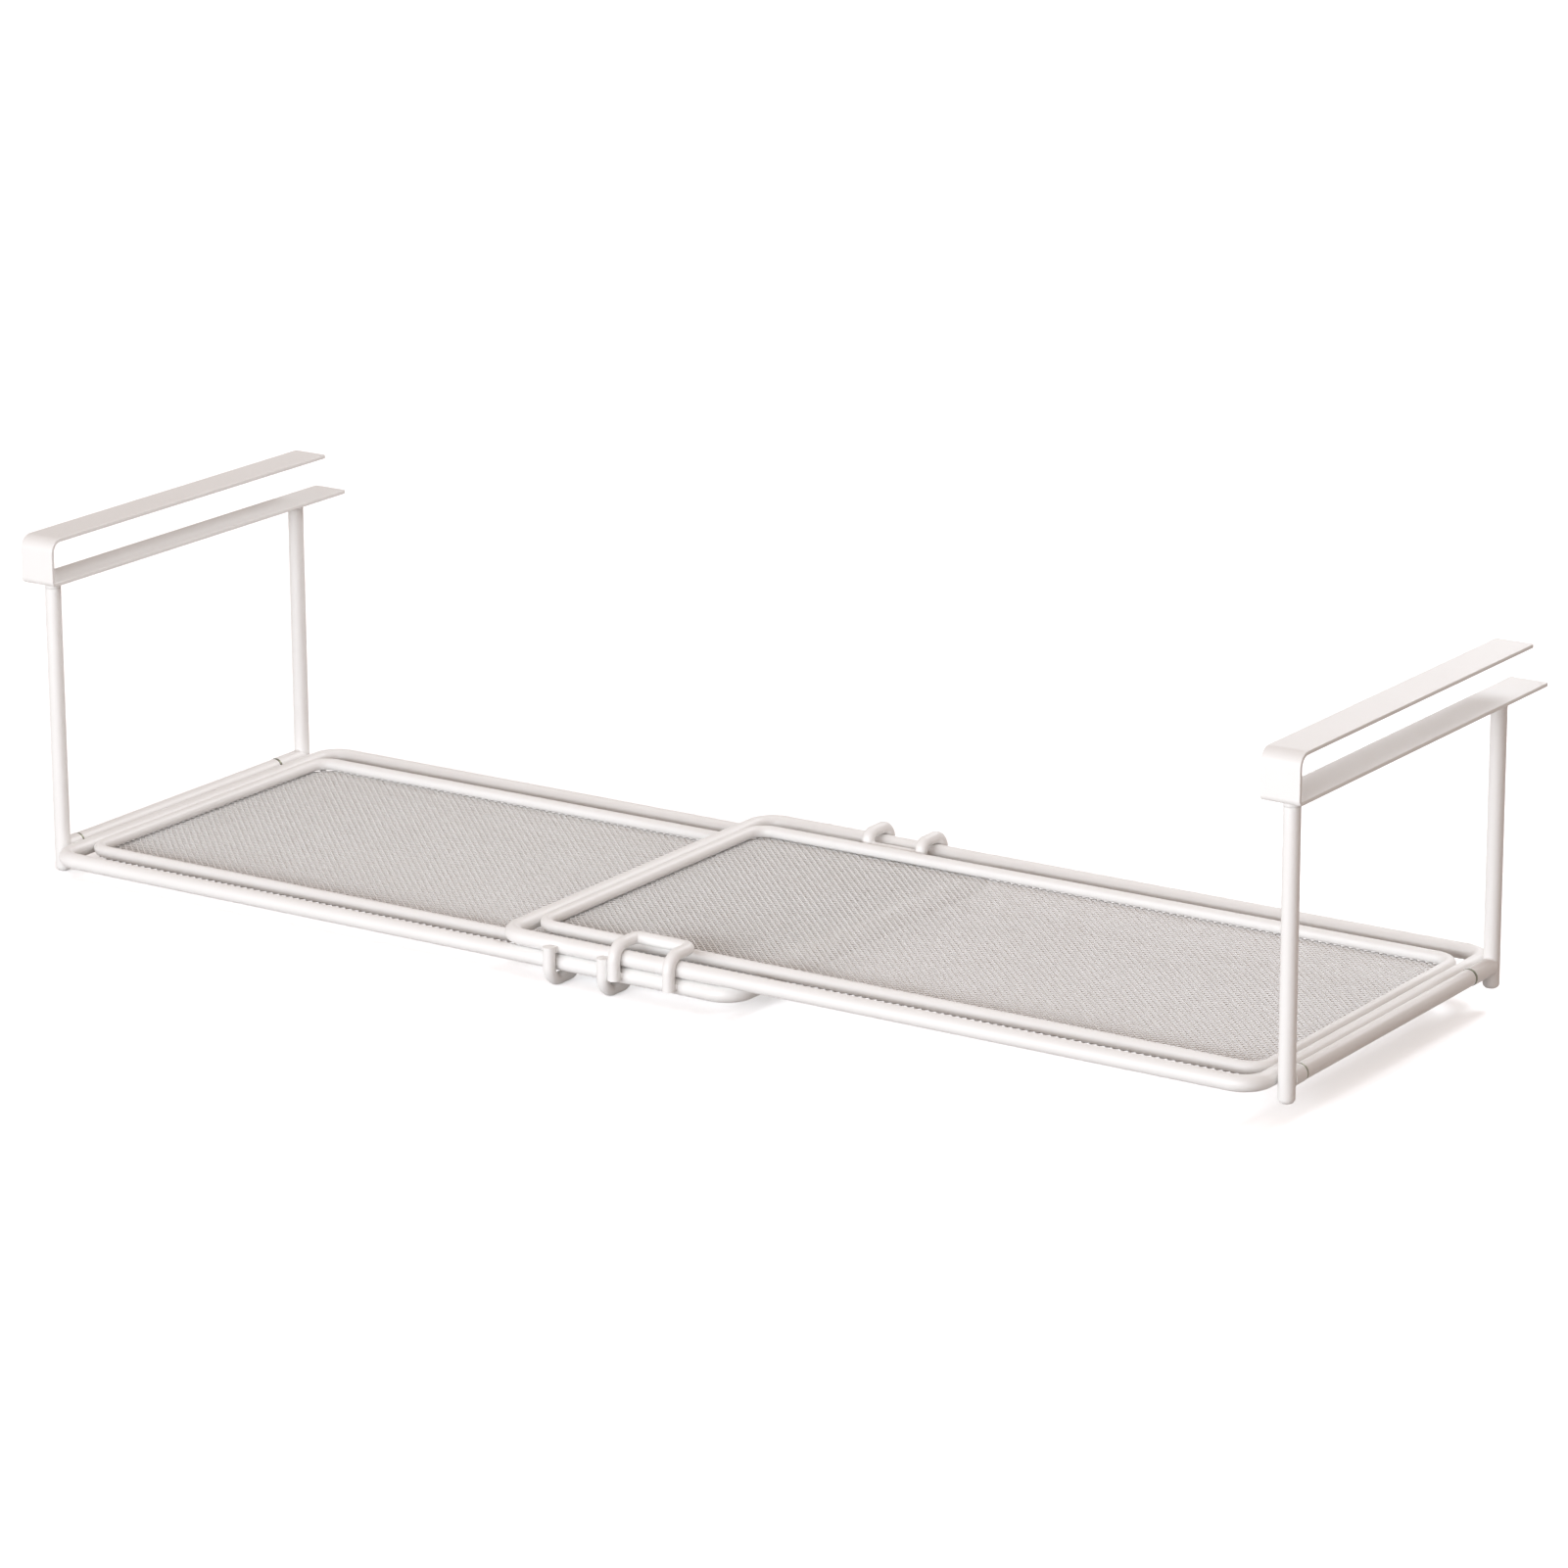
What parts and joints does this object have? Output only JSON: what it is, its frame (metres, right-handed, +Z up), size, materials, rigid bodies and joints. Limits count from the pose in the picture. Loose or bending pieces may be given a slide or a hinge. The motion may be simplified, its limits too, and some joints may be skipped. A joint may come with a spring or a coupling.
{
  "type": "under-cabinet basket organizer",
  "caption": "Extendable under-cabinet organizer: telescoping wire trays with mesh floors, held by hinged end frames whose flat hooks grip a shelf board.",
  "frame": {"origin": "centre of the part's outline on the ground under the left feet, with the trays fully extended", "axes": "+X along the trays to the right, +Y to the rear where the hooks open, +Z up"},
  "size_m": [0.72, 0.2494, 0.1736],
  "materials": {
    "powder_coat": "satin powder coat over steel wire and strip",
    "coated_mesh": "satin powder coat over expanded steel mesh",
    "bare_steel": "zinc plated steel, slightly dull"
  },
  "bodies": {
    "left_tray": {"left_outer_rail": "powder_coat", "left_inner_rail": "powder_coat", "left_mesh": "coated_mesh", "left_hinge_tube": "powder_coat", "left_front_clip": "powder_coat", "left_rear_clip": "powder_coat"},
    "left_end_frame": {"left_hook": "powder_coat", "left_front_upright": "powder_coat", "left_rear_upright": "powder_coat", "left_front_knuckle": "powder_coat", "left_rear_knuckle": "powder_coat", "left_front_pin": "bare_steel", "left_rear_pin": "bare_steel", "left_front_washer": "bare_steel", "left_rear_washer": "bare_steel"},
    "right_tray": {"right_outer_rail": "powder_coat", "right_inner_rail": "powder_coat", "right_mesh": "coated_mesh", "right_hinge_tube": "powder_coat", "right_front_clip": "powder_coat", "right_rear_clip": "powder_coat"},
    "right_end_frame": {"right_hook": "powder_coat", "right_front_upright": "powder_coat", "right_rear_upright": "powder_coat", "right_front_knuckle": "powder_coat", "right_rear_knuckle": "powder_coat", "right_front_pin": "bare_steel", "right_rear_pin": "bare_steel", "right_front_washer": "bare_steel", "right_rear_washer": "bare_steel"}
  },
  "joints": [
    {"name": "tray_slide", "type": "slide", "parent": "left_tray", "child": "right_tray", "axis": [1, 0, 0], "range_m": [-0.27, 0]},
    {"name": "left_frame_swing", "type": "hinge", "parent": "left_tray", "child": "left_end_frame", "pos_m": [-0.35, -0.00265, 0.0123], "axis": [0, 1, 0], "range_deg": [-10, 20]},
    {"name": "right_frame_swing", "type": "hinge", "parent": "right_tray", "child": "right_end_frame", "pos_m": [0.35, -0.00265, 0.0206], "axis": [0, 1, 0], "range_deg": [-20, 10]}
  ]
}
